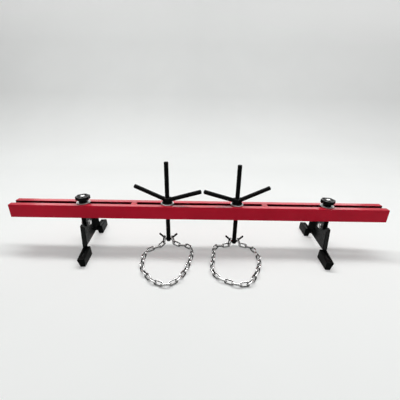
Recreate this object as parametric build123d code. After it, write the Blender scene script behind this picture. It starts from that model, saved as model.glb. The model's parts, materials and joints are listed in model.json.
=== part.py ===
from build123d import *
import math
import os

# Engine support frame: a slotted beam on two clamped, rocking legs, with two screw hooks and chains.
# +X runs along the beam, -Y is the front, +Z is up; the origin is on the floor under the beam's middle.
# All sizes are in millimetres.

# Beam
BEAM_LENGTH = 1524.0
RAIL_WIDTH = 25.0
RAIL_HEIGHT = 55.0
RAIL_WALL = 2.5
RAIL_CORNER = 3.0
RAIL_INNER_CORNER = 0.8
SLOT_WIDTH = 21.0
CAP_THICKNESS = 3.0
BRIDGE_LENGTH = 22.0
BRIDGE_HEIGHT = 14.0
LEFT_BRIDGE_X = -271.5
RIGHT_BRIDGE_X = 266.0
SPACER_LENGTH = 25.0
SPACER_HEIGHT = 20.0
SPACER_RISE = 6.0

# Legs: how far from the beam's ends they are clamped, how far their front feet turn in, and their pivot
LEFT_LEG_INSET = 284.0
RIGHT_LEG_INSET = 238.5
LEFT_TOE_ANGLE = 5.0
RIGHT_TOE_ANGLE = 4.0
PIVOT_HEIGHT = 103.0
PIVOT_DROP = 37.0
SHEET = 3.0
BEND_RADIUS = 4.0
BRACKET_WIDTH = 18.0
BRACKET_DEPTH = 56.0
BRACKET_APRON = 38.0
CHEEK_ROUND = 17.0

# Leg plate: reaches forward and back from the pivot, and flanges splayed from the web's line
LOBE_RADIUS = 16.0
VALLEY_REACH = 32.0
VALLEY_RISE = 12.0
SHOULDER_START = 56.0
SHOULDER_REACH = 72.0
SHOULDER_RISE = 20.0
LEG_REACH = 84.0
LEG_FLOOR = 17.0
FLANGE_TOP = 22.0
FLANGE_FOOT = 25.0
FLANGE_ANGLE = 60.0
FLANGE_LAP = 12.0
PLATE_ROUND = 4.0
TONGUE_WIDTH = 10.0
TONGUE_OFFSET = 16.0
TONGUE_HEIGHT = 29.0
TONGUE_REACH = 66.0

# Rubber feet: higher at the heel, next to the leg, than at the toe
FOOT_LENGTH = 85.0
HEEL_HEIGHT = 40.0
TOE_HEIGHT = 33.0
FOOT_TOP_WIDTH = 30.0
FOOT_TOP_OFFSET = 16.0
FOOT_BASE_WIDTH = 20.0
FOOT_BASE_OFFSET = 23.5
FOOT_EDGE = 4.0

# Pivot bolt
PIVOT_BOLT_DIAMETER = 10.0
PIVOT_HEX_FLATS = 17.0
PIVOT_HEAD_HEIGHT = 5.2
PIVOT_NUT_HEIGHT = 8.0
PIVOT_BOLT_END = 2.5
PIVOT_WASHER_DIAMETER = 21.0
PIVOT_WASHER_THICKNESS = 1.6
SPACER_TUBE_DIAMETER = 17.0

# Clamp stud, washer and lobed knob
STUD_DIAMETER = 12.0
STUD_HEAD_LENGTH = 22.0
STUD_HEAD_HEIGHT = 6.0
STUD_IN_KNOB = 17.0
CLAMP_WASHER_DIAMETER = 54.0
CLAMP_WASHER_THICKNESS = 3.0
KNOB_DIAMETER = 57.0
KNOB_LOBES = 6
KNOB_LOBE_RADIUS = 14.0
KNOB_SCALLOP_ROUND = 4.0
KNOB_HEAD_HEIGHT = 15.0
KNOB_EDGE = 2.0
KNOB_UNDERCUT = 4.0
KNOB_NECK_DIAMETER = 33.0
KNOB_NECK_HEIGHT = 10.0
KNOB_HUB_DIAMETER = 22.0
KNOB_RIM = 7.5
KNOB_POCKET_DEPTH = 9.0
KNOB_SPOKE = 5.0
LEFT_KNOB_ANGLE = 30.0
RIGHT_KNOB_ANGLE = 49.0
INSERT_DIAMETER = 18.0
INSERT_LENGTH = 19.0

# Lifting screws
LEFT_HOOK_X = -135.0
RIGHT_HOOK_X = 151.0
ROD_DIAMETER = 18.0
ROD_LENGTH = 350.0
LEFT_ROD_END = 20.0
RIGHT_ROD_END = 12.0
ROD_CHAMFER = 1.5
THRUST_WASHER_DIAMETER = 52.0
THRUST_WASHER_THICKNESS = 4.0
HUB_FLATS = 30.0
HUB_HEIGHT = 24.0
HUB_CHAMFER = 2.5
HUB_FLANGE_DIAMETER = 43.0
HUB_FLANGE_HEIGHT = 5.0
ARM_DIAMETER = 17.5
ARM_ROOT_HEIGHT = 16.0
ARM_REACH = 140.5
ARM_TIP_HEIGHT = 61.0
ARM_END_ROUND = 4.0
LEFT_ARM_ANGLE = -12.0
RIGHT_ARM_ANGLE = 12.0
HORN_DIAMETER = 8.0
HORN_REACH = 38.0
HORN_RISE = 35.0
HORN_ROOT_DROP = 1.0
HORN_END_ROUND = 2.0

# Chain
LINK_WIRE = 5.5
LINK_PITCH = 28.0
LINK_INSIDE_WIDTH = 9.5
LINK_SLACK = 0.3
LINK_ROLL_ANGLE = 45.0
HANG_REACH = 18.0

# Clearances
RUNNING = 0.05
SIDE_PLAY = 0.3
SEAT = 0.15
HOLE_PLAY = 0.5

# Chain routes on the floor, from the left horn round to the right one, measured from the hook's axis
LEFT_ROUTE = [
    (-29, -22), (-48, -38), (-72, -50), (-87, -80), (-88, -118), (-86, -153), (-78, -184), (-62, -210),
    (-41, -236), (-16, -256), (12, -266), (40, -258), (61, -235), (77, -205), (88, -166), (98, -121), (104, -76),
    (98, -38), (76, -19), (46, -17),
]
RIGHT_ROUTE = [
    (-36, -19), (-62, -17), (-83, -24), (-91, -52), (-95, -95), (-100, -136), (-104, -174), (-97, -208),
    (-74, -233), (-46, -250), (-18, -261), (8, -262), (29, -249), (45, -224), (60, -196), (75, -161), (86, -125),
    (86, -88), (79, -48), (61, -22), (34, -17),
]

# Heights and places that follow from the driving sizes
BEAM_UNDERSIDE = PIVOT_HEIGHT + PIVOT_DROP
BEAM_TOP = BEAM_UNDERSIDE + RAIL_HEIGHT
RAIL_Y = (SLOT_WIDTH + RAIL_WIDTH) / 2
LEFT_LEG_X = LEFT_LEG_INSET - BEAM_LENGTH / 2
RIGHT_LEG_X = BEAM_LENGTH / 2 - RIGHT_LEG_INSET
BRACKET_HALF = BRACKET_WIDTH / 2
BRACKET_INSIDE = BRACKET_WIDTH - 2 * SHEET
WEB_HALF = SHEET / 2
SHOULDER_HEIGHT = PIVOT_HEIGHT + SHOULDER_RISE
VALLEY_HEIGHT = PIVOT_HEIGHT + VALLEY_RISE
SPLAY = math.radians(FLANGE_ANGLE)
TONGUE_START = LEG_REACH + (TONGUE_OFFSET - TONGUE_WIDTH / 2) / math.tan(SPLAY)
TONGUE_LENGTH = LEG_REACH + TONGUE_REACH - TONGUE_START
FOOT_START = LEG_REACH + SIDE_PLAY
HORN_SLOPE = (HORN_RISE + HORN_ROOT_DROP) / HORN_REACH
CLAMP_WASHER_TOP = BEAM_TOP + CLAMP_WASHER_THICKNESS
KNOB_BASE = CLAMP_WASHER_TOP + SIDE_PLAY
THRUST_WASHER_TOP = BEAM_TOP + THRUST_WASHER_THICKNESS
HUB_BASE = THRUST_WASHER_TOP + SIDE_PLAY
LINK_RADIUS = (LINK_INSIDE_WIDTH + LINK_WIRE) / 2
LINK_STRAIGHT = LINK_PITCH - LINK_INSIDE_WIDTH
LINK_HALF = LINK_STRAIGHT / 2 + LINK_RADIUS
LINK_STEP = LINK_PITCH - LINK_SLACK
LINK_REST = LINK_RADIUS * math.sin(math.radians(LINK_ROLL_ANGLE)) + LINK_WIRE / 2


def disc(diameter, height, hole=0.0):
    """A round plate standing on the origin, with a hole where one is given."""
    plate = Cylinder(diameter / 2, height, align=(Align.CENTER, Align.CENTER, Align.MIN))
    if hole:
        plate -= Cylinder(hole / 2, height, align=(Align.CENTER, Align.CENTER, Align.MIN))
    return plate


def along_x(shape, x):
    """Turns a shape that stands on the origin so that it runs along +X from the given place, at pivot height."""
    return Pos(x, 0, PIVOT_HEIGHT) * Rot(0, 90, 0) * shape


def hexagon(flats, height, hole=0.0):
    """A six-sided prism standing on the origin."""
    prism = extrude(RegularPolygon(flats / 2, 6, major_radius=False), height)
    if hole:
        prism -= Cylinder(hole / 2, height, align=(Align.CENTER, Align.CENTER, Align.MIN))
    return prism


# Beam pieces
def rail(side):
    """One rectangular tube of the beam; side is -1 at the front and 1 at the rear."""
    outer = RectangleRounded(RAIL_WIDTH, RAIL_HEIGHT, RAIL_CORNER)
    inner = RectangleRounded(RAIL_WIDTH - 2 * RAIL_WALL, RAIL_HEIGHT - 2 * RAIL_WALL, RAIL_INNER_CORNER)
    tube = extrude(Plane.YZ * (outer - inner), BEAM_LENGTH / 2, both=True)
    return Pos(0, side * RAIL_Y, BEAM_UNDERSIDE + RAIL_HEIGHT / 2) * tube


def rail_end_caps():
    """Four plugs, flush with the open ends of the two rails."""
    width = RAIL_WIDTH - 2 * RAIL_WALL - 2 * SEAT
    height = RAIL_HEIGHT - 2 * RAIL_WALL - 2 * SEAT
    plug = extrude(Plane.YZ * RectangleRounded(width, height, RAIL_INNER_CORNER), CAP_THICKNESS / 2, both=True)
    x = (BEAM_LENGTH - CAP_THICKNESS) / 2
    z = BEAM_UNDERSIDE + RAIL_HEIGHT / 2
    return [Pos(sx * x, sy * RAIL_Y, z) * plug for sx in (-1, 1) for sy in (-1, 1)]


def bridge(x):
    """A welded block across the slot, flush with the beam's top."""
    block = Box(BRIDGE_LENGTH, SLOT_WIDTH, BRIDGE_HEIGHT, align=(Align.CENTER, Align.CENTER, Align.MAX))
    return Pos(x, 0, BEAM_TOP) * block


def end_spacers():
    """Two welded blocks low in the slot, at the beam's ends."""
    block = Box(SPACER_LENGTH, SLOT_WIDTH, SPACER_HEIGHT, align=(Align.MAX, Align.CENTER, Align.MIN))
    right = Pos(BEAM_LENGTH / 2, 0, BEAM_UNDERSIDE + SPACER_RISE) * block
    return [mirror(right, Plane.YZ), right]


# Leg pieces, in a leg's own frame: its clamp stud on Z, +X towards the middle of the beam
def clamp_bracket():
    """The U-shaped bracket under the beam: a top plate and two rounded cheeks bored for the pivot."""
    top = Pos(0, 0, BEAM_UNDERSIDE) * Box(
        BRACKET_WIDTH, BRACKET_DEPTH, SHEET, align=(Align.CENTER, Align.CENTER, Align.MAX)
    )
    apron = Pos(0, BEAM_UNDERSIDE - BRACKET_APRON / 2) * Rectangle(BRACKET_DEPTH, BRACKET_APRON)
    boss = Pos(0, PIVOT_HEIGHT) * Circle(CHEEK_ROUND)
    outline = make_hull(apron.edges() + boss.edges())
    bore = Pos(0, PIVOT_HEIGHT) * Circle(PIVOT_BOLT_DIAMETER / 2 + RUNNING)
    cheek = extrude(Plane.YZ * (outline - bore), SHEET)
    bracket = top + Pos(BRACKET_HALF - SHEET, 0, 0) * cheek + Pos(-BRACKET_HALF, 0, 0) * cheek
    bends = bracket.edges().filter_by(Axis.Y).group_by(Axis.Z)[-1]
    bracket = fillet(bends, BEND_RADIUS)
    stud_hole = Cylinder(STUD_DIAMETER / 2 + SEAT, SHEET, align=(Align.CENTER, Align.CENTER, Align.MAX))
    return bracket - Pos(0, 0, BEAM_UNDERSIDE) * stud_hole


def clamp_stud():
    """The T-headed stud: its head lies between the cheeks, its shank goes up through the slot."""
    head = Box(
        BRACKET_INSIDE - 2 * SEAT, STUD_HEAD_LENGTH, STUD_HEAD_HEIGHT,
        align=(Align.CENTER, Align.CENTER, Align.MAX),
    )
    base = BEAM_UNDERSIDE - SHEET
    shank = disc(STUD_DIAMETER, KNOB_BASE + STUD_IN_KNOB - base)
    return Pos(0, 0, base) * (head + shank)


def clamp_washer():
    """The plain washer under the knob, across both rails."""
    bore = STUD_DIAMETER + HOLE_PLAY
    return Pos(0, 0, BEAM_TOP) * disc(CLAMP_WASHER_DIAMETER, CLAMP_WASHER_THICKNESS, bore)


def clamp_knob():
    """The moulded knob: a lobed head with open pockets between spokes, on a round neck."""
    lobe_ring = KNOB_DIAMETER / 2 - KNOB_LOBE_RADIUS
    outline = Circle(lobe_ring)
    for lobe in range(KNOB_LOBES):
        outline += Rot(0, 0, lobe * 360 / KNOB_LOBES) * Pos(lobe_ring, 0) * Circle(KNOB_LOBE_RADIUS)
    creases = [v for v in outline.vertices() if math.hypot(v.X, v.Y) < KNOB_DIAMETER / 2 - 1]
    outline = fillet(creases, KNOB_SCALLOP_ROUND)
    head = extrude(outline, KNOB_HEAD_HEIGHT)
    head = fillet(head.faces().sort_by(Axis.Z)[-1].outer_wire().edges(), KNOB_EDGE)
    head = fillet(head.faces().sort_by(Axis.Z)[0].outer_wire().edges(), KNOB_UNDERCUT)
    pockets = Circle(KNOB_DIAMETER / 2 - KNOB_RIM) - Circle(KNOB_HUB_DIAMETER / 2)
    for lobe in range(KNOB_LOBES):
        spoke = Rectangle(KNOB_DIAMETER, KNOB_SPOKE, align=(Align.MIN, Align.CENTER))
        pockets -= Rot(0, 0, lobe * 360 / KNOB_LOBES) * spoke
    head -= Pos(0, 0, KNOB_HEAD_HEIGHT - KNOB_POCKET_DEPTH) * extrude(pockets, KNOB_POCKET_DEPTH)
    neck = disc(KNOB_NECK_DIAMETER, KNOB_NECK_HEIGHT)
    knob = neck + Pos(0, 0, KNOB_NECK_HEIGHT) * head
    socket = Cylinder(INSERT_DIAMETER / 2, INSERT_LENGTH, align=(Align.CENTER, Align.CENTER, Align.MIN))
    return Pos(0, 0, KNOB_BASE) * (knob - socket)


def knob_insert():
    """The threaded metal bush moulded into the knob."""
    bore = STUD_DIAMETER + 2 * RUNNING
    bush = disc(INSERT_DIAMETER, INSERT_LENGTH) - disc(bore, STUD_IN_KNOB + HOLE_PLAY)
    return Pos(0, 0, KNOB_BASE) * bush


def plate_outline():
    """The leg's web seen from the side, the same to the front and to the rear of its pivot."""
    half = [
        (0, LEG_FLOOR),
        (LEG_REACH - FLANGE_LAP / 2, LEG_FLOOR),
        (SHOULDER_REACH - FLANGE_LAP / 2, SHOULDER_HEIGHT),
        (SHOULDER_START, SHOULDER_HEIGHT),
        (VALLEY_REACH, VALLEY_HEIGHT),
        (0, VALLEY_HEIGHT),
    ]
    right = make_face(Polyline(*half, close=True))
    corners = [v for v in right.vertices() if 1 < v.X < SHOULDER_START + 1]
    right = fillet(corners, PLATE_ROUND)
    both = right + mirror(right, Plane.YZ)
    return both + Pos(0, PIVOT_HEIGHT) * Circle(LOBE_RADIUS)


def end_section(height, grow):
    """The leg's end in plan at one height: the web's edge and the flange splayed from it, grown for a fit."""
    rise = (height - LEG_FLOOR) / (SHOULDER_HEIGHT - LEG_FLOOR)
    bend = Vector(0, LEG_REACH + rise * (SHOULDER_REACH - LEG_REACH))
    width = FLANGE_FOOT + rise * (FLANGE_TOP - FLANGE_FOOT) + grow
    tip = bend + Vector(math.sin(SPLAY), math.cos(SPLAY)) * width
    half = WEB_HALF + grow
    mitre = Vector(-1, math.tan(SPLAY / 2)) * half
    edge = Vector(-math.cos(SPLAY), math.sin(SPLAY)) * half
    root = bend.Y - FLANGE_LAP
    corners = [(-half, root), bend + mitre, tip + edge, tip - edge, bend - mitre, (half, root)]
    return Pos(0, 0, height) * make_face(Polyline(*corners, close=True))


def leg_end(grow=0.0):
    """The flange along the leg's +Y edge, a little wider at its foot than at its top."""
    return loft([end_section(LEG_FLOOR - grow, grow), end_section(SHOULDER_HEIGHT, grow)], ruled=True)


def tongue(grow=0.0):
    """The strip that runs out from the flange, level along the top of the rubber foot."""
    strip = Box(
        TONGUE_WIDTH + 2 * grow, TONGUE_LENGTH + 2 * grow, SHEET + 2 * grow,
        align=(Align.CENTER, Align.MIN, Align.MIN),
    )
    return Pos(TONGUE_OFFSET, TONGUE_START - grow, TONGUE_HEIGHT - grow) * strip


def leg_plate():
    """The pressed leg: a web between the cheeks, with a rounded bend, a flange and a tongue at each end."""
    end = leg_end()
    top = end.faces().sort_by(Axis.Z)[-1]
    end = fillet(top.edges().sort_by(Axis.X)[-1], PLATE_ROUND)
    upright = end.edges().filter_by(lambda e: e.length > SHOULDER_START)
    bend_middle = (LEG_REACH + SHOULDER_REACH) / 2
    bends = [e for e in upright if abs(e.center().Y - bend_middle) < FLANGE_LAP / 2]
    end = fillet(min(bends, key=lambda e: e.center().X), BEND_RADIUS) + tongue()
    bore = Pos(0, PIVOT_HEIGHT) * Circle(PIVOT_BOLT_DIAMETER / 2 + RUNNING)
    web = extrude(Plane.YZ * (plate_outline() - bore), WEB_HALF, both=True)
    return web + end + mirror(end, Plane.XZ)


def foot(side):
    """One rubber foot, slotted for the leg's flange and tongue; side is -1 at -Y and 1 at +Y."""
    corners = [
        (FOOT_BASE_OFFSET - FOOT_BASE_WIDTH / 2, 0),
        (FOOT_BASE_OFFSET + FOOT_BASE_WIDTH / 2, 0),
        (FOOT_TOP_OFFSET + FOOT_TOP_WIDTH / 2, HEEL_HEIGHT),
        (FOOT_TOP_OFFSET - FOOT_TOP_WIDTH / 2, HEEL_HEIGHT),
    ]
    block = extrude(Plane.XZ * make_face(Polyline(*corners, close=True)), -FOOT_LENGTH)
    slope = [(0, HEEL_HEIGHT), (FOOT_LENGTH, TOE_HEIGHT), (FOOT_LENGTH, HEEL_HEIGHT)]
    block -= extrude(Plane.YZ * make_face(Polyline(*slope, close=True)), 2 * FOOT_TOP_WIDTH, both=True)
    block = Pos(0, FOOT_START, 0) * fillet(block.edges(), FOOT_EDGE)
    groove = extrude(tongue(SEAT).faces().sort_by(Axis.Z)[-1], HEEL_HEIGHT)
    block -= leg_end(SEAT) + tongue(SEAT) + groove
    return block if side > 0 else mirror(block, Plane.XZ)


def pivot_bolt():
    """The hexagon bolt through both cheeks and the web between them."""
    head_x = BRACKET_HALF + PIVOT_WASHER_THICKNESS
    end_x = -BRACKET_HALF - PIVOT_WASHER_THICKNESS - PIVOT_NUT_HEIGHT - PIVOT_BOLT_END
    head = along_x(hexagon(PIVOT_HEX_FLATS, PIVOT_HEAD_HEIGHT), head_x)
    return head + along_x(disc(PIVOT_BOLT_DIAMETER, head_x - end_x), end_x)


def pivot_nut():
    """The lock nut on the outer cheek."""
    x = -BRACKET_HALF - PIVOT_WASHER_THICKNESS - PIVOT_NUT_HEIGHT
    return along_x(hexagon(PIVOT_HEX_FLATS, PIVOT_NUT_HEIGHT, PIVOT_BOLT_DIAMETER + 2 * RUNNING), x)


def pivot_washers():
    """Two plain washers: under the head and under the nut."""
    washer = disc(PIVOT_WASHER_DIAMETER, PIVOT_WASHER_THICKNESS, PIVOT_BOLT_DIAMETER + HOLE_PLAY)
    return [along_x(washer, BRACKET_HALF), along_x(washer, -BRACKET_HALF - PIVOT_WASHER_THICKNESS)]


def pivot_spacer():
    """Two short tubes on the bolt that keep the web midway between the cheeks."""
    near = WEB_HALF + SIDE_PLAY
    length = BRACKET_INSIDE / 2 - SEAT - near
    tube = disc(SPACER_TUBE_DIAMETER, length, PIVOT_BOLT_DIAMETER + 2 * RUNNING)
    return [along_x(tube, near), along_x(tube, -near - length)]


# Hook pieces, on the hook's own axis
def thrust_washer():
    """The plate washer that the wing nut turns on."""
    bore = ROD_DIAMETER + 2 * HOLE_PLAY
    return Pos(0, 0, BEAM_TOP) * disc(THRUST_WASHER_DIAMETER, THRUST_WASHER_THICKNESS, bore)


def wing_nut_hub():
    """The hexagon nut on its round flange, with a corner to the front and flats for its two arms."""
    blank = Rot(0, 0, 30) * hexagon(HUB_FLATS, HUB_HEIGHT)
    corner = HUB_FLATS / math.sqrt(3)
    cone_height = HUB_CHAMFER
    crown = Cylinder(corner, HUB_HEIGHT - cone_height, align=(Align.CENTER, Align.CENTER, Align.MIN))
    crown += Pos(0, 0, HUB_HEIGHT - cone_height) * Cone(
        corner, corner - 2 * HUB_CHAMFER, cone_height, align=(Align.CENTER, Align.CENTER, Align.MIN)
    )
    flange = disc(HUB_FLANGE_DIAMETER, HUB_FLANGE_HEIGHT)
    flange = chamfer(flange.edges().sort_by(Axis.Z)[-1], HUB_CHAMFER / 2)
    bore = Cylinder(ROD_DIAMETER / 2 + RUNNING, HUB_HEIGHT, align=(Align.CENTER, Align.CENTER, Align.MIN))
    return Pos(0, 0, HUB_BASE) * ((blank & crown) + flange - bore)


def wing_nut_arms():
    """Two straight round arms welded to opposite flats of the nut, rising outwards."""
    root = (HUB_FLATS / 2, ARM_ROOT_HEIGHT)
    slope = math.degrees(math.atan2(ARM_TIP_HEIGHT - root[1], ARM_REACH - root[0]))
    length = math.hypot(ARM_TIP_HEIGHT - root[1], ARM_REACH - root[0])
    bar = disc(ARM_DIAMETER, length + ARM_DIAMETER)
    bar = fillet(bar.edges().sort_by(Axis.Z)[-1], ARM_END_ROUND)
    bar = Pos(root[0], 0, root[1]) * Rot(0, 90 - slope, 0) * Pos(0, 0, -ARM_DIAMETER) * bar
    inside = Box(HUB_FLATS, 2 * ARM_DIAMETER, 4 * HUB_HEIGHT)
    right = Pos(0, 0, HUB_BASE) * (bar - inside)
    return [mirror(right, Plane.YZ), right]


def lift_rod(rod_end):
    """The screwed rod, from just above the floor up through slot and nut."""
    rod = disc(ROD_DIAMETER, ROD_LENGTH)
    ends = rod.edges().group_by(Axis.Z)
    return Pos(0, 0, rod_end) * chamfer(ends[0] + ends[-1], ROD_CHAMFER)


def hook_horns(rod_end):
    """Two round pins welded to the rod's lower end, rising outwards to hold the chain's end links."""
    length = HORN_REACH * math.hypot(1, HORN_SLOPE)
    pin = disc(HORN_DIAMETER, length)
    pin = fillet(pin.edges().sort_by(Axis.Z)[-1], HORN_END_ROUND)
    pin = Rot(0, 90 - math.degrees(math.atan(HORN_SLOPE)), 0) * pin
    right = Pos(0, 0, rod_end - HORN_ROOT_DROP) * (pin - Cylinder(ROD_DIAMETER / 2, 4 * HORN_RISE))
    return [mirror(right, Plane.YZ), right]


def chain_link():
    """One link about the origin, long in X and flat in XY: an eight-sided ring of eight-sided wire."""
    def ring(radius):
        corner = radius / math.cos(math.pi / 8)
        angles = [math.radians(a) for a in (-67.5, -22.5, 22.5, 67.5)]
        half = [(LINK_STRAIGHT / 2 + corner * math.cos(a), corner * math.sin(a)) for a in angles]
        return half + [(-x, -y) for x, y in half]

    outer = make_face(Polyline(*ring(LINK_RADIUS + LINK_WIRE / 2), close=True))
    inner = make_face(Polyline(*ring(LINK_RADIUS - LINK_WIRE / 2), close=True))
    flat_ring = extrude(outer - inner, LINK_WIRE / 2, both=True)
    facet = LINK_WIRE * (1 - math.tan(math.pi / 8)) / 2
    return chamfer(flat_ring.faces().filter_by(Axis.Z).edges(), facet)


def chain(route, rod_end):
    """The links of one loop, from horn to horn: each lies along the route and is rolled against the last."""
    hang_height = rod_end - HORN_ROOT_DROP + HORN_SLOPE * HANG_REACH
    hangs = [Vector(side * HANG_REACH, 0, hang_height) for side in (-1, 1)]
    lying = [Vector(x, y, LINK_REST) for x, y in route]
    behind = HORN_DIAMETER / 2 + LINK_WIRE / 2 + SIDE_PLAY - (LINK_HALF - LINK_STEP / 2)
    start = hangs[0] + (hangs[0] - lying[0]).normalized() * behind
    end = hangs[1] + (hangs[1] - lying[-1]).normalized() * behind
    line = Spline(start, *lying, end)
    count = math.ceil(line.length / LINK_STEP)
    count += 1 - count % 2
    step = line.length / count
    print(f"chain: route {line.length:.1f} mm, {count} links, {step:.2f} mm apart")
    points = [line.position_at(i * step, position_mode=PositionMode.LENGTH) for i in range(count + 1)]
    points = [Vector(p.X, p.Y, max(p.Z, LINK_REST)) for p in points]
    link = chain_link()
    links = []
    for i in range(count):
        forward = (points[i + 1] - points[i]).normalized()
        aside = forward.cross(Vector(0, 0, 1)).normalized()
        over = aside.cross(forward)
        roll = math.radians(LINK_ROLL_ANGLE if i % 2 == 0 else -LINK_ROLL_ANGLE)
        face = over * math.cos(roll) + aside * math.sin(roll)
        seat = Plane(origin=(points[i] + points[i + 1]) / 2, x_dir=forward, z_dir=face)
        links.append(seat.location * link)
    return links


# Placing and writing
def write(name, pieces):
    """Writes one node: a single solid, or a group of separate ones."""
    if isinstance(pieces, list):
        pieces = Compound(children=[p.solids()[0] if len(p.solids()) == 1 else p for p in pieces])
    pieces.label = name
    export_step(pieces, f"parts/{name}.step")


def placed(place, pieces):
    """Puts one solid, or each of a group, at its place."""
    return [place * p for p in pieces] if isinstance(pieces, list) else place * pieces


os.makedirs("parts", exist_ok=True)

write("front_rail", rail(-1))
write("rear_rail", rail(1))
write("rail_end_caps", rail_end_caps())
write("left_bridge", bridge(LEFT_BRIDGE_X))
write("right_bridge", bridge(RIGHT_BRIDGE_X))
write("end_spacers", end_spacers())

legs = {
    "left": (Pos(LEFT_LEG_X, 0, 0), LEFT_TOE_ANGLE, LEFT_KNOB_ANGLE, -1),
    "right": (Pos(RIGHT_LEG_X, 0, 0), 180 - RIGHT_TOE_ANGLE, RIGHT_KNOB_ANGLE, 1),
}
for side, (place, turn, knob_turn, front) in legs.items():
    leg = place * Rot(0, 0, turn)
    knob = place * Rot(0, 0, knob_turn)
    pieces = {
        "clamp_washer": clamp_washer(),
        "clamp_bracket": clamp_bracket(),
        "clamp_stud": clamp_stud(),
        "leg_plate": leg_plate(),
        "front_foot": foot(front),
        "rear_foot": foot(-front),
        "pivot_bolt": pivot_bolt(),
        "pivot_nut": pivot_nut(),
        "pivot_washers": pivot_washers(),
        "pivot_spacer": pivot_spacer(),
    }
    for name, piece in pieces.items():
        write(f"{side}_{name}", placed(leg, piece))
    write(f"{side}_clamp_knob", placed(knob, clamp_knob()))
    write(f"{side}_knob_insert", placed(knob, knob_insert()))

hooks = {
    "left": (Pos(LEFT_HOOK_X, 0, 0), LEFT_ARM_ANGLE, LEFT_ROD_END, LEFT_ROUTE),
    "right": (Pos(RIGHT_HOOK_X, 0, 0), RIGHT_ARM_ANGLE, RIGHT_ROD_END, RIGHT_ROUTE),
}
for side, (place, arm_turn, rod_end, route) in hooks.items():
    nut = place * Rot(0, 0, arm_turn)
    write(f"{side}_thrust_washer", placed(place, thrust_washer()))
    write(f"{side}_wing_nut_hub", placed(nut, wing_nut_hub()))
    write(f"{side}_wing_nut_arms", placed(nut, wing_nut_arms()))
    write(f"{side}_lift_rod", placed(place, lift_rod(rod_end)))
    write(f"{side}_hook_horns", placed(place, hook_horns(rod_end)))
    write(f"{side}_chain", placed(place, chain(route, rod_end)))
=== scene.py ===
import json
import math

import bmesh
import bpy
import numpy as np
from mathutils import Matrix, Quaternion, Vector


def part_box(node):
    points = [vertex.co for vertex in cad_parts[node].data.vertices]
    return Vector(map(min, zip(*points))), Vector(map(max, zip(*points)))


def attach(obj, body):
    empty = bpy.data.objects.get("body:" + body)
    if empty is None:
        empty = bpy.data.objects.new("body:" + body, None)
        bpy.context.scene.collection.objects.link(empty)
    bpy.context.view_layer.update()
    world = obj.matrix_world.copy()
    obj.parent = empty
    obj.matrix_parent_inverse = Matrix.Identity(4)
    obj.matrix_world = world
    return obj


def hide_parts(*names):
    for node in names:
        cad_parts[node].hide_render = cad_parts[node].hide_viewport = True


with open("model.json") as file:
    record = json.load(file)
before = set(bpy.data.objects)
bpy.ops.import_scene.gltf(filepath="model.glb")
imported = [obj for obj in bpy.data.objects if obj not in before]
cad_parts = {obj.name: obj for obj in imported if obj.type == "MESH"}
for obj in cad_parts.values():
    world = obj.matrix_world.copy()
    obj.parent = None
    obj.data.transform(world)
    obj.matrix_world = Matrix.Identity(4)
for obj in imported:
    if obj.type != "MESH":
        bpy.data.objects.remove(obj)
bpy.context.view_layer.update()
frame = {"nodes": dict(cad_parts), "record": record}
nodes = frame["nodes"]
SIDES = ("left", "right")
HALF_TURNS = (0, math.pi)

# Lengths are in metres; a point nearer to a plane than this counts as lying on it
SAME_PLACE = 0.00001

# An odd place off the planes of symmetry: points and faces are put in order by how near they are to it
ORDER_FROM = (0.31, -0.57, 0.83)

# Camera: the lens in pixels of the square photograph, and the place and turns that its edges give
FOCAL_PIXELS = 251.4
PHOTO_PIXELS = 400
SENSOR_WIDTH = 36.0
CAMERA_PLACE = Vector((-0.0115, -0.9498, 0.6048))
PITCH = math.radians(22.40)
ROLL = math.radians(1.13)
YAW = math.radians(0.61)

# Carried-over nodes: small rounds on sawn, pressed and turned edges, by the end of the node's name
EDGE_ROUND = {
    "leg_plate": 0.0006, "clamp_bracket": 0.0006, "clamp_washer": 0.0005, "thrust_washer": 0.0006,
    "wing_nut_hub": 0.0006, "pivot_washers": 0.0003, "pivot_bolt": 0.0008, "pivot_nut": 0.0008,
    "bridge": 0.0008, "end_spacers": 0.0008, "rail_end_caps": 0.0006, "clamp_knob": 0.0014,
}
EDGE_STEPS = 2
SHARP_ANGLE = math.radians(40)
SMOOTH_ANGLE = math.radians(35)
MERGE_GAP = 0.00002

# Slot in the beam: how far from the middle the painted shade on its walls reaches, and where the full red
# begins
SLOT_SHADE_TO = 0.0106
SLOT_RED_FROM = 0.0116

# Chain links
LINK_STRAIGHT = 0.0190
LINK_RADIUS = 0.0075
WIRE_RADIUS = 0.0029
WIRE_SIDES = 12
BEND_STEPS = 10
WELD_SWELL = 1.12
WELD_HALF = 0.0014
WELD_TAPER = 0.0007
LINK_SEAM = 0.00005
LINK_REACH = LINK_STRAIGHT / 2 + LINK_RADIUS

# Screwed rods
ROD_RADIUS = 0.009
ROD_SIDES = 40
ROD_PLAIN = 0.026
ROD_TOP_BEVEL = 0.0014
ROD_FOOT_BEVEL = 0.0015
SHOULDER_BEVEL = 0.0005
BEVEL_STEPS = 2
THREAD_PITCH = 0.002
THREAD_DEPTH = 0.0005
THREAD_ROOT = 0.0018
THREAD_CREST_SHARE = 0.5
THREAD_BURIED = 0.0003
THREAD_START = 0.0005
THREAD_LEFT_OFF = 0.003
THREAD_STEPS = 24

# Wing nuts' arms and hooks' horns, where their weld beads lie
HUB_FLAT = 0.015
ARM_RADIUS = 0.00875
ARM_ROOT_HEIGHT = 0.016
ARM_REACH = 0.1405
ARM_TIP_HEIGHT = 0.061
ARM_SLOPE = math.atan2(ARM_TIP_HEIGHT - ARM_ROOT_HEIGHT, ARM_REACH - HUB_FLAT)
ARM_TURN = {"left": math.radians(-12), "right": math.radians(12)}
HORN_RADIUS = 0.004
HORN_REACH = 0.038
HORN_RISE = 0.035
HORN_ROOT_DROP = 0.001
HORN_SLOPE = math.atan2(HORN_RISE + HORN_ROOT_DROP, HORN_REACH)

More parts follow.
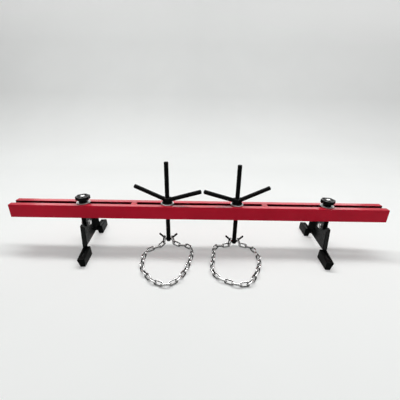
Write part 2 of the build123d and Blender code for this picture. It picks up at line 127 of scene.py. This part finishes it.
# Weld beads: how far the ring stands off the bar, its own radius, and its ripples
ARM_BEAD_OFF = 0.0006
ARM_BEAD_RADIUS = 0.0017
HORN_BEAD_OFF = 0.0002
HORN_BEAD_RADIUS = 0.0012
HORN_BEAD_OUT = ROD_RADIUS + 0.001
BEAD_RINGS = 44
BEAD_SIDES = 8
BEAD_RIPPLE = 0.16

# Plated caps in the knobs' hubs: the edge and dimple are shares of the cap's rise and radius
CAP_RADIUS = 0.0075
CAP_SIDES = 36
CAP_RISE = 0.0012
CAP_SUNK = 0.001
CAP_EDGE_SHARE = 0.7
CAP_EDGE_STEPS = 3
CAP_RIM_SHARE = 0.45
DIMPLE_SLOPE_SHARE = 0.12
DIMPLE_DEPTH_SHARE = 0.4

# Sweep: flat floor, bend and upright back
FLOOR_LEVEL = -0.0005
FLOOR_FRONT = -3.0
FLOOR_BACK = 1.6
SWEEP_WIDTH = 12.0
SWEEP_BEND = 2.2
SWEEP_BEND_STEPS = 24
SWEEP_BACK_HEIGHT = 3.8

# How brightly the sweep shows: from the floor back along the bend and up, and from side to side
GLOW_BACK = [
    (0.0, 0.30), (1.2, 0.225), (1.85, 0.255), (2.85, 0.235), (3.75, 0.19), (5.0, 0.27), (5.7, 0.38),
]
GLOW_ASIDE = [(-3.2, 0.03), (0.0, 0.0), (3.2, 0.11)]

# Studio light: the world's strength on the object and as it shows, and the lamps with their power in watts
PALE = (1.0, 1.0, 0.995, 1.0)
WORLD_LIGHT = 0.12
WORLD_SHOWN = 0.7
LAMPS = {
    "strip": {"place": (0, 1.2, 3.4), "aim": (0, 0, 0.1), "size": (6.0, 0.4), "power": 126, "roll": -8},
    "sky": {"place": (0, 1.0, 3.6), "aim": (0, 1.0, 0), "size": (7.0, 5.0), "power": 32},
    "fill": {"place": (0, -4.5, 0.6), "aim": (0, 0, 0.16), "size": (5.0, 0.8), "power": 39, "glossy": False},
    "softbox": {
        "place": (0, 0.25, 2.6), "aim": (0, 0.25, 0), "size": (5.0, 1.2), "power": 120, "diffuse": False,
    },
    "card": {"place": (0, 2.6, 1.35), "aim": (0, 0, 0.2), "size": (5.0, 0.7), "power": 27, "diffuse": False},
}


# Camera
def make_camera():
    forward = Vector((
        math.sin(YAW) * math.cos(PITCH),
        math.cos(YAW) * math.cos(PITCH),
        -math.sin(PITCH),
    ))
    level = Vector((math.cos(YAW), -math.sin(YAW), 0))
    upright = level.cross(forward)
    right = level * math.cos(ROLL) + upright * math.sin(ROLL)
    up = upright * math.cos(ROLL) - level * math.sin(ROLL)
    data = bpy.data.cameras.new("camera")
    data.sensor_width = SENSOR_WIDTH
    data.lens = SENSOR_WIDTH * FOCAL_PIXELS / PHOTO_PIXELS
    camera = bpy.data.objects.new("camera", data)
    bpy.context.scene.collection.objects.link(camera)
    turn = Matrix((right, up, -forward)).transposed().to_4x4()
    camera.matrix_world = Matrix.Translation(CAMERA_PLACE) @ turn
    bpy.context.scene.camera = camera


make_camera()


# Finishes
class Finish:
    """A Principled material with helpers for its textures, all in object space."""

    NOISE_ROUGHNESS = 0.55
    NOISE_LOW = 0.3
    NOISE_HIGH = 0.7

    def __init__(self, name, **values):
        self.material = bpy.data.materials.new(name)
        self.material.use_nodes = True
        self.tree = self.material.node_tree
        self.shader = self.tree.nodes["Principled BSDF"]
        self.place = self.node("ShaderNodeTexCoord").outputs["Object"]
        for socket, value in values.items():
            self.shader.inputs[socket.replace("_", " ")].default_value = value

    def node(self, kind, **values):
        made = self.tree.nodes.new(kind)
        for key, value in values.items():
            setattr(made, key, value)
        return made

    def link(self, source, target):
        self.tree.links.new(source, target)

    def noise(self, scale, detail):
        made = self.node("ShaderNodeTexNoise")
        made.inputs["Scale"].default_value = scale
        made.inputs["Detail"].default_value = detail
        made.inputs["Roughness"].default_value = self.NOISE_ROUGHNESS
        self.link(self.place, made.inputs["Vector"])
        return made.outputs["Fac"]

    def ramp(self, source, stops):
        made = self.node("ShaderNodeValToRGB")
        line = made.color_ramp
        while len(line.elements) < len(stops):
            line.elements.new(0.5)
        for element, (at, colour) in zip(line.elements, stops):
            element.position = at
            element.color = (*colour, 1.0)
        self.link(source, made.inputs["Fac"])
        return made.outputs["Color"]

    def spread(self, source, low, high, start=NOISE_LOW, end=NOISE_HIGH):
        """Low where the source is at its start, high at its end, and even between them."""
        made = self.node("ShaderNodeMapRange")
        made.inputs["From Min"].default_value = start
        made.inputs["From Max"].default_value = end
        made.inputs["To Min"].default_value = low
        made.inputs["To Max"].default_value = high
        self.link(source, made.inputs["Value"])
        return made.outputs["Result"]

    def patches(self, scale, detail, low, high):
        """A colour that wanders between two."""
        return self.ramp(self.noise(scale, detail), [(self.NOISE_LOW, low), (self.NOISE_HIGH, high)])

    def darkened(self, colour, mask, left):
        """The colour where the mask is 0, and only the given share of it where the mask is 1."""
        made = self.node("ShaderNodeMix", data_type="RGBA", blend_type="MULTIPLY")
        share, first, second = (made.inputs[k] for k in (0, 6, 7))
        self.link(mask, share)
        self.link(colour, first)
        second.default_value = (left, left, left, 1.0)
        return made.outputs[2]

    def colour(self, source):
        self.link(source, self.shader.inputs["Base Color"])

    def roughness(self, scale, detail, low, high):
        """A roughness that wanders between two values."""
        self.link(self.spread(self.noise(scale, detail), low, high), self.shader.inputs["Roughness"])

    def grain(self, scale, detail, height, strength):
        """A fine relief over the whole surface."""
        made = self.node("ShaderNodeBump")
        made.inputs["Distance"].default_value = height
        made.inputs["Strength"].default_value = strength
        self.link(self.noise(scale, detail), made.inputs["Height"])
        self.link(made.outputs["Normal"], self.shader.inputs["Normal"])


def slot_shade_mask(f):
    """Mask for the painted shade: 1 on the walls inside the beam's slot, 0 outside."""
    parts = f.node("ShaderNodeSeparateXYZ")
    f.link(f.place, parts.inputs["Vector"])
    aside = f.node("ShaderNodeMath", operation="ABSOLUTE")
    f.link(parts.outputs["Y"], aside.inputs[0])
    return f.spread(aside.outputs["Value"], 1.0, 0.0, start=SLOT_SHADE_TO, end=SLOT_RED_FROM)


def red_paint(name, low, high, coat, slot_shaded=False):
    """Glossy red; on the rails, painted shade darkens the walls inside the beam's slot."""
    f = Finish(name, Specular_IOR_Level=0.05, Coat_Weight=coat, Coat_Roughness=0.12, Coat_IOR=1.15)
    paint = f.patches(9, 5, low, high)
    # painted shade inside the slot: its walls keep only a tenth of the red
    f.colour(f.darkened(paint, slot_shade_mask(f), left=0.10) if slot_shaded else paint)
    f.roughness(60, 6, low=0.30, high=0.42)
    f.grain(520, 2, height=0.00012, strength=0.25)
    return f.material


def black_paint():
    f = Finish("black_paint", Specular_IOR_Level=0.05)
    f.colour(f.patches(14, 5, low=(0.0020, 0.0026, 0.0025), high=(0.0044, 0.0052, 0.0050)))
    f.roughness(70, 6, low=0.24, high=0.34)
    f.grain(700, 2, height=0.00015, strength=0.3)
    return f.material


def black_steel():
    f = Finish("black_steel", Specular_IOR_Level=0.04)
    f.colour(f.patches(35, 6, low=(0.0018, 0.0020, 0.0020), high=(0.0036, 0.0040, 0.0040)))
    f.roughness(110, 6, low=0.20, high=0.30)
    f.grain(900, 3, height=0.0001, strength=0.3)
    return f.material


def black_cap():
    f = Finish("black_cap", Specular_IOR_Level=0.1)
    f.colour(f.patches(30, 4, low=(0.006, 0.006, 0.006), high=(0.010, 0.010, 0.010)))
    f.roughness(200, 4, low=0.45, high=0.60)
    f.grain(1400, 2, height=0.0002, strength=0.4)
    return f.material


def moulded_knob():
    f = Finish("moulded_knob", Specular_IOR_Level=0.05)
    f.colour(f.patches(40, 4, low=(0.0008, 0.0010, 0.0009), high=(0.0016, 0.0019, 0.0018)))
    f.roughness(160, 5, low=0.08, high=0.14)
    f.grain(1200, 2, height=0.00005, strength=0.3)
    return f.material


def rubber():
    f = Finish("rubber", Specular_IOR_Level=0.03)
    f.colour(f.patches(45, 6, low=(0.0012, 0.0016, 0.0015), high=(0.0028, 0.0034, 0.0032)))
    f.roughness(220, 6, low=0.26, high=0.38)
    f.grain(1100, 4, height=0.0002, strength=0.4)
    return f.material


def plated(name, low, high, rough, inner_shade=False):
    """Plating; on the chain, painted shade darkens the side of each link that faces its opening, where the
    links overlap.
    """
    f = Finish(name, Metallic=1.0)
    metal = f.patches(90, 5, low, high)
    if inner_shade:
        inside = f.node("ShaderNodeAttribute", attribute_name="inside").outputs["Fac"]
        # painted shade on each link's inner side, down to a twenty-fifth of the plating's colour
        metal = f.darkened(metal, f.spread(inside, 0.0, 1.0, start=0.25, end=0.55), left=0.04)
    f.colour(metal)
    f.roughness(260, 6, low=rough - 0.06, high=rough + 0.08)
    f.grain(1500, 3, height=0.0001, strength=0.3)
    return f.material


DEEP_RED = ((0.55, 0.004, 0.026), (0.63, 0.006, 0.032))
# Painted light: the bridges have the rails' paint, drawn in a lighter red for the stronger light on their
# tops
LIT_RED = ((0.78, 0.012, 0.035), (0.86, 0.015, 0.040))
FINISHES = {
    "red_paint": red_paint("red_paint", *DEEP_RED, coat=1.0),
    # rails: red with painted shade on the walls inside the slot
    "rail_paint": red_paint("rail_paint", *DEEP_RED, coat=1.0, slot_shaded=True),
    # bridges: a lighter red as painted light on their tops
    "bridge_paint": red_paint("bridge_paint", *LIT_RED, coat=0.7),
    "black_paint": black_paint(),
    "black_steel": black_steel(),
    "black_cap": black_cap(),
    "moulded_knob": moulded_knob(),
    "rubber": rubber(),
    "zinc": plated("zinc", (0.58, 0.58, 0.58), (0.70, 0.70, 0.69), rough=0.34),
    "dull_zinc": plated("dull_zinc", (0.32, 0.32, 0.32), (0.44, 0.44, 0.43), rough=0.46),
    # chain: plating with painted shade on the links' inner sides
    "chain_zinc": plated("chain_zinc", (0.38, 0.38, 0.38), (0.54, 0.54, 0.53), rough=0.14, inner_shade=True),
    "brass": plated("brass", (0.62, 0.42, 0.15), (0.72, 0.50, 0.20), rough=0.30),
}


# Carried-over nodes: the finish of the node's own slot, unless the end of its name has another
SLOT_OF = {part["node"]: part["material_slot"] for part in frame["record"]["subparts"]}
FINISH_OF = {
    "_rail": "rail_paint", "_bridge": "bridge_paint",
    "clamp_washer": "dull_zinc", "thrust_washer": "dull_zinc",
}


def by_ending(table, name):
    """The table's entry for the end of a node's name, if it has one."""
    return next((entry for ending, entry in table.items() if name.endswith(ending)), None)


def round_edges(node, width):
    weld = node.modifiers.new("weld", "WELD")
    weld.merge_threshold = MERGE_GAP
    bevel = node.modifiers.new("edges", "BEVEL")
    bevel.width = width
    bevel.segments = EDGE_STEPS
    bevel.limit_method = "ANGLE"
    bevel.angle_limit = SHARP_ANGLE
    bevel.harden_normals = True


for name, node in nodes.items():
    node.data.materials.clear()
    node.data.materials.append(FINISHES[by_ending(FINISH_OF, name) or SLOT_OF[name]])
    if by_ending(EDGE_ROUND, name):
        round_edges(node, by_ending(EDGE_ROUND, name))


# Modelling helpers
def deselect():
    bpy.ops.object.select_all(action="DESELECT")


def settle():
    """Puts the active piece's place, turn and size into its mesh."""
    bpy.ops.object.transform_apply(location=True, rotation=True, scale=True)


def edit():
    bpy.ops.object.mode_set(mode="EDIT")
    bpy.ops.mesh.select_mode(type="VERT")


def leave():
    """Turns every face outwards, puts points and faces in the same order each run and leaves edit mode."""
    bpy.ops.mesh.select_all(action="SELECT")
    bpy.ops.mesh.normals_make_consistent(inside=False)
    bpy.context.scene.cursor.location = ORDER_FROM
    bpy.ops.mesh.sort_elements(type="CURSOR_DISTANCE", elements={"VERT", "EDGE", "FACE"})
    bpy.ops.object.mode_set(mode="OBJECT")


def pick(piece, test):
    """Selects the points of a piece in edit mode for which the test is true, and what lies between them."""
    bpy.ops.mesh.select_all(action="DESELECT")
    shape = bmesh.from_edit_mesh(piece.data)
    for vert in shape.verts:
        vert.select_set(test(vert.co))
    shape.select_flush(True)
    bmesh.update_edit_mesh(piece.data)


def pull(x=0.0, y=0.0, z=0.0):
    """Extrudes what is selected by one step."""
    bpy.ops.mesh.extrude_region_move(TRANSFORM_OT_translate={"value": (x, y, z)})


def join(pieces):
    deselect()
    for piece in pieces:
        piece.select_set(True)
    bpy.context.view_layer.objects.active = pieces[0]
    bpy.ops.object.join()
    return pieces[0]


def finish_piece(piece, name, body, slot):
    """Names and paints a modelled piece and lets it ride on its body."""
    deselect()
    piece.select_set(True)
    bpy.context.view_layer.objects.active = piece
    bpy.ops.object.shade_smooth_by_angle(angle=SMOOTH_ANGLE)
    piece.name = piece.data.name = name
    piece.data.materials.clear()
    piece.data.materials.append(FINISHES[slot])
    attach(piece, body)


# Chains
def facing_in(at):
    """How far a point of the link faces its opening: 0 outermost, 1 innermost."""
    bend = max(-LINK_STRAIGHT / 2, min(LINK_STRAIGHT / 2, at.x))
    return (LINK_RADIUS + WIRE_RADIUS - math.hypot(at.x - bend, at.y)) / (2 * WIRE_RADIUS)


def welded_link():
    """One link about the origin, long in X and flat in XY, drawn from its weld round to the other side."""
    deselect()
    bpy.ops.mesh.primitive_circle_add(
        vertices=WIRE_SIDES, radius=WIRE_RADIUS * WELD_SWELL,
        location=(0, LINK_RADIUS, 0), rotation=(0, math.pi / 2, 0),
    )
    link = bpy.context.object
    settle()
    edit()
    bpy.ops.mesh.select_all(action="SELECT")
    pull(x=WELD_HALF)
    pull(x=WELD_TAPER)
    thin = 1 / WELD_SWELL
    bpy.ops.transform.resize(value=(1, thin, thin), center_override=(0, LINK_RADIUS, 0))
    pull(x=LINK_STRAIGHT / 2 - WELD_HALF - WELD_TAPER)
    bpy.ops.mesh.spin(steps=BEND_STEPS, angle=math.pi, center=(LINK_STRAIGHT / 2, 0, 0), axis=(0, 0, 1))
    pull(x=-LINK_STRAIGHT / 2)
    leave()
    half = link.modifiers.new("other_half", "MIRROR")
    half.merge_threshold = LINK_SEAM
    bpy.ops.object.modifier_apply(modifier="other_half")
    edit()
    leave()
    # how far each point faces the link's opening, as the mask for the painted shade there
    inside = link.data.attributes.new("inside", "FLOAT", "POINT")
    for vert, mark in zip(link.data.vertices, inside.data):
        mark.value = facing_in(vert.co)
    return link


def islands(node):
    """The separate solids of a CAD node, each as an array of its points."""
    shape = bmesh.new()
    shape.from_mesh(node.data)
    bmesh.ops.remove_doubles(shape, verts=shape.verts, dist=MERGE_GAP)
    found, seen = [], set()
    for first in shape.verts:
        if first in seen:
            continue
        seen.add(first)
        group, heap = [], [first]
        while heap:
            vert = heap.pop()
            group.append(vert.co.copy())
            for edge in vert.link_edges:
                other = edge.other_vert(vert)
                if other not in seen:
                    seen.add(other)
                    heap.append(other)
        found.append(np.array(group))
    shape.free()
    return found


def link_places(side):
    """Each link's middle and its long and flat axes, in order from the horn at -X to the other."""
    left = []
    for points in islands(nodes[f"{side}_chain"]):
        middle = points.mean(0)
        axes = np.linalg.eigh(np.cov((points - middle).T))[1]
        left.append((middle, axes[:, 2], axes[:, 1]))
    ends = sorted(left, key=lambda place: -place[0][2])[:2]
    here = min(ends, key=lambda place: place[0][0])
    ordered = []
    while left:
        here = min(left, key=lambda place: np.linalg.norm(place[0] - here[0]))
        left = [place for place in left if place is not here]
        ordered.append(here)
    return ordered


def chain(side, link):
    """One chain: a copy of the link at each link's place, and the line through their middles with a link's
    reach added at each end.
    """
    places = link_places(side)
    copies = []
    for middle, along, across in places:
        copy = link.copy()
        copy.data = link.data.copy()
        bpy.context.scene.collection.objects.link(copy)
        turn = Matrix([along, across, np.cross(along, across)]).transposed().to_4x4()
        copy.data.transform(Matrix.Translation(middle) @ turn)
        copies.append(copy)
    piece = join(copies)
    finish_piece(piece, f"{side}_chain_links", f"{side}_screw", "chain_zinc")
    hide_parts(f"{side}_chain")
    line = [place[0] for place in places]
    for here, there, at in ((line[0], line[1], 0), (line[-1], line[-2], len(line) + 1)):
        away = (here - there) / np.linalg.norm(here - there)
        line.insert(at, here + away * LINK_REACH)


pattern = welded_link()
for side in SIDES:
    chain(side, pattern)
bpy.data.objects.remove(pattern)


# Screwed rods
def thread_ridge(core, length):
    """The ridge of a thread round Z, closed at its ends: a tapered section swept up by the pitch."""
    deselect()
    width = THREAD_DEPTH + THREAD_BURIED
    centre = core - THREAD_BURIED + width / 2
    bpy.ops.mesh.primitive_plane_add(size=1, location=(centre, 0, 0), rotation=(math.pi / 2, 0, 0))
    ridge = bpy.context.object
    ridge.scale = (width, THREAD_ROOT, 1)
    settle()
    edit()
    pick(ridge, lambda at: at.x > centre)
    crest = (core + THREAD_DEPTH, 0, 0)
    bpy.ops.transform.resize(value=(1, 1, THREAD_CREST_SHARE), center_override=crest)
    bpy.ops.object.mode_set(mode="OBJECT")
    sweep = ridge.modifiers.new("thread", "SCREW")
    sweep.screw_offset = THREAD_PITCH
    sweep.iterations = int(length / THREAD_PITCH)
    sweep.steps = sweep.render_steps = THREAD_STEPS
    bpy.ops.object.modifier_apply(modifier="thread")
    edit()
    bpy.ops.mesh.select_all(action="SELECT")
    bpy.ops.mesh.fill_holes(sides=4)
    leave()
    return ridge


def screwed_rod(side):
    """A rod with a plain lower end, bevelled at both ends, and a rolled thread above."""
    low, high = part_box(f"{side}_lift_rod")
    middle = (low + high) / 2
    shoulder = low.z + ROD_PLAIN
    threaded = high.z - shoulder
    deselect()
    bpy.ops.mesh.primitive_cylinder_add(
        vertices=ROD_SIDES, radius=ROD_RADIUS, depth=ROD_PLAIN,
        location=(middle.x, middle.y, low.z + ROD_PLAIN / 2),
    )
    rod = bpy.context.object
    settle()
    edit()
    pick(rod, lambda at: at.z > shoulder - SAME_PLACE)
    bpy.ops.mesh.inset(thickness=THREAD_DEPTH)
    pull(z=threaded)
    bpy.ops.mesh.bevel(offset=ROD_TOP_BEVEL, segments=BEVEL_STEPS)
    pick(rod, lambda at: at.z < low.z + SAME_PLACE)
    bpy.ops.mesh.bevel(offset=ROD_FOOT_BEVEL, segments=BEVEL_STEPS)
    rim = ROD_RADIUS - SAME_PLACE
    pick(rod, lambda at: abs(at.z - shoulder) < SAME_PLACE and (at.xy - middle.xy).length > rim)
    bpy.ops.mesh.bevel(offset=SHOULDER_BEVEL, segments=BEVEL_STEPS)
    leave()
    ridge = thread_ridge(ROD_RADIUS - THREAD_DEPTH, threaded - THREAD_LEFT_OFF)
    ridge.location = (middle.x, middle.y, shoulder + THREAD_START)
    settle()
    finish_piece(join([rod, ridge]), f"{side}_screw_rod", f"{side}_screw", "black_steel")
    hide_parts(f"{side}_lift_rod")


for side in SIDES:
    screwed_rod(side)


# Weld beads
def weld_bead(place, turn, radius, thick, tall=1.0):
    """A rippled ring of weld metal in the YZ plane of the given turn, tall times as high as wide."""
    deselect()
    bpy.ops.mesh.primitive_torus_add(
        major_segments=BEAD_RINGS, minor_segments=BEAD_SIDES,
        major_radius=radius, minor_radius=thick, location=(0, 0, 0), rotation=(0, math.pi / 2, 0),
    )
    bead = bpy.context.object
    settle()
    edit()
    step = 2 * math.pi / BEAD_RINGS
    pick(bead, lambda at: round(math.atan2(at.y, at.z) / step) % 2 == 0)
    bpy.ops.transform.shrink_fatten(value=-BEAD_RIPPLE * thick)
    bpy.ops.mesh.select_all(action="SELECT")
    bpy.ops.transform.resize(value=(1, 1, tall), center_override=(0, 0, 0))
    leave()
    smooth = bead.modifiers.new("smooth", "SUBSURF")
    smooth.levels = smooth.render_levels = 1
    bpy.ops.object.modifier_apply(modifier="smooth")
    bead.matrix_world = Matrix.Translation(place) @ turn
    settle()
    return bead


def arm_welds(side):
    """The beads round the roots of the wing nut's arms."""
    low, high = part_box(f"{side}_wing_nut_hub")
    middle = (low + high) / 2
    root = Vector((middle.x, middle.y, low.z + ARM_ROOT_HEIGHT))
    beads = []
    for half in HALF_TURNS:
        turn = Matrix.Rotation(ARM_TURN[side] + half, 4, "Z")
        place = root + turn @ Vector((HUB_FLAT, 0, 0))
        tall = 1 / math.cos(ARM_SLOPE)
        beads.append(weld_bead(place, turn, ARM_RADIUS + ARM_BEAD_OFF, ARM_BEAD_RADIUS, tall))
    finish_piece(join(beads), f"{side}_arm_welds", f"{side}_nut", "black_steel")


def horn_welds(side):
    """The beads round the roots of the hook's horns."""
    low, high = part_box(f"{side}_lift_rod")
    middle = (low + high) / 2
    up = HORN_BEAD_OUT * math.tan(HORN_SLOPE) - HORN_ROOT_DROP
    root = Vector((middle.x, middle.y, low.z + up))
    beads = []
    for half in HALF_TURNS:
        about_rod = Matrix.Rotation(half, 4, "Z")
        place = root + about_rod @ Vector((HORN_BEAD_OUT, 0, 0))
        turn = about_rod @ Matrix.Rotation(-HORN_SLOPE, 4, "Y")
        beads.append(weld_bead(place, turn, HORN_RADIUS + HORN_BEAD_OFF, HORN_BEAD_RADIUS))
    finish_piece(join(beads), f"{side}_horn_welds", f"{side}_screw", "black_steel")


for side in SIDES:
    arm_welds(side)
    horn_welds(side)


# Plated caps
def hub_cap(side):
    """A pressed cap on the knob's hub, with a rounded edge and a shallow dimple."""
    low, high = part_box(f"{side}_clamp_knob")
    middle = (low + high) / 2
    deselect()
    bpy.ops.mesh.primitive_cylinder_add(
        vertices=CAP_SIDES, radius=CAP_RADIUS, depth=CAP_RISE + CAP_SUNK,
        location=(middle.x, middle.y, high.z + (CAP_RISE - CAP_SUNK) / 2),
    )
    cap = bpy.context.object
    settle()
    edit()
    pick(cap, lambda at: at.z > high.z)
    bpy.ops.mesh.bevel(offset=CAP_RISE * CAP_EDGE_SHARE, segments=CAP_EDGE_STEPS)
    pick(cap, lambda at: at.z > high.z + CAP_RISE - SAME_PLACE)
    bpy.ops.mesh.inset(thickness=CAP_RADIUS * CAP_RIM_SHARE)
    bpy.ops.mesh.inset(thickness=CAP_RADIUS * DIMPLE_SLOPE_SHARE, depth=-CAP_RISE * DIMPLE_DEPTH_SHARE)
    leave()
    finish_piece(cap, f"{side}_hub_cap", f"{side}_knob", "zinc")


for side in SIDES:
    hub_cap(side)


# Floor and backdrop
def seen_directly(tree):
    """1 for what the camera and reflections see, 0 for the light that falls on the object."""
    rays = tree.nodes.new("ShaderNodeLightPath").outputs
    seen = rays["Is Camera Ray"]
    for kind in ("Is Glossy Ray", "Is Transmission Ray"):
        either = tree.nodes.new("ShaderNodeMath")
        either.operation = "MAXIMUM"
        tree.links.new(seen, either.inputs[0])
        tree.links.new(rays[kind], either.inputs[1])
        seen = either.outputs["Value"]
    return seen


def graded(f, direction, stops):
    """A strength that changes along one direction of the sweep, from stop to stop."""
    along = f.node("ShaderNodeVectorMath", operation="DOT_PRODUCT")
    along.inputs[1].default_value = direction
    f.link(f.place, along.inputs[0])
    first, last = stops[0][0], stops[-1][0]
    share = f.spread(along.outputs["Value"], 0.0, 1.0, start=first, end=last)
    return f.ramp(share, [((at - first) / (last - first), (glow, glow, glow)) for at, glow in stops])


def sweep_glow(f):
    """A strength that puts no light on the object and evens out the backdrop."""
    both = f.node("ShaderNodeMath", operation="ADD")
    f.link(graded(f, (0, 1, 1), GLOW_BACK), both.inputs[0])
    f.link(graded(f, (1, 0, 0), GLOW_ASIDE), both.inputs[1])
    shown = f.node("ShaderNodeMath", operation="MULTIPLY")
    f.link(both.outputs["Value"], shown.inputs[0])
    f.link(seen_directly(f.tree), shown.inputs[1])
    return shown.outputs["Value"]


def pale_sweep():
    f = Finish("sweep", Specular_IOR_Level=0.1, Emission_Color=PALE)
    f.colour(f.ramp(f.noise(1.3, 3), [(0.35, (0.605, 0.62, 0.61)), (0.65, (0.625, 0.64, 0.63))]))
    f.roughness(30, 4, low=0.7, high=0.8)
    f.link(sweep_glow(f), f.shader.inputs["Emission Strength"])
    return f.material


def make_stage():
    """A pale sweep: flat floor, a wide bend and an upright back."""
    deselect()
    bpy.ops.mesh.primitive_plane_add(size=1, location=(0, (FLOOR_FRONT + FLOOR_BACK) / 2, FLOOR_LEVEL))
    sweep = bpy.context.object
    sweep.scale = (SWEEP_WIDTH, FLOOR_BACK - FLOOR_FRONT, 1)
    settle()
    edit()
    pick(sweep, lambda at: at.y > FLOOR_BACK - SAME_PLACE)
    hub = (0, FLOOR_BACK, FLOOR_LEVEL + SWEEP_BEND)
    bpy.ops.mesh.spin(steps=SWEEP_BEND_STEPS, angle=-math.pi / 2, center=hub, axis=(1, 0, 0))
    pull(z=SWEEP_BACK_HEIGHT)
    leave()
    bpy.ops.object.shade_smooth()
    sweep.name = "sweep"
    sweep.data.materials.append(pale_sweep())


# Light
def area_light(name, place, aim, size, power, roll=0, diffuse=True, glossy=True):
    """A rectangular lamp that the camera doesn't see; it may leave out the diffuse or the glossy light."""
    data = bpy.data.lights.new(name, "AREA")
    data.shape = "RECTANGLE"
    data.size, data.size_y = size
    data.energy = power
    light = bpy.data.objects.new(name, data)
    bpy.context.scene.collection.objects.link(light)
    light.location = place
    turn = (Vector(aim) - Vector(place)).to_track_quat("-Z", "Y")
    light.rotation_euler = (turn @ Quaternion((0, 0, 1), math.radians(roll))).to_euler()
    light.visible_camera = False
    light.visible_diffuse = diffuse
    light.visible_glossy = glossy


def make_world():
    """A pale surround that shows brighter than it lights the object."""
    world = bpy.data.worlds.new("studio")
    bpy.context.scene.world = world
    world.use_nodes = True
    tree = world.node_tree
    background = tree.nodes["Background"]
    background.inputs["Color"].default_value = PALE
    strength = tree.nodes.new("ShaderNodeMapRange")
    strength.inputs["To Min"].default_value = WORLD_LIGHT
    strength.inputs["To Max"].default_value = WORLD_SHOWN
    tree.links.new(seen_directly(tree), strength.inputs["Value"])
    tree.links.new(strength.outputs["Result"], background.inputs["Strength"])


make_stage()
make_world()
for name, lamp in LAMPS.items():
    area_light(name, **lamp)
bpy.context.scene.view_settings.view_transform = "Standard"
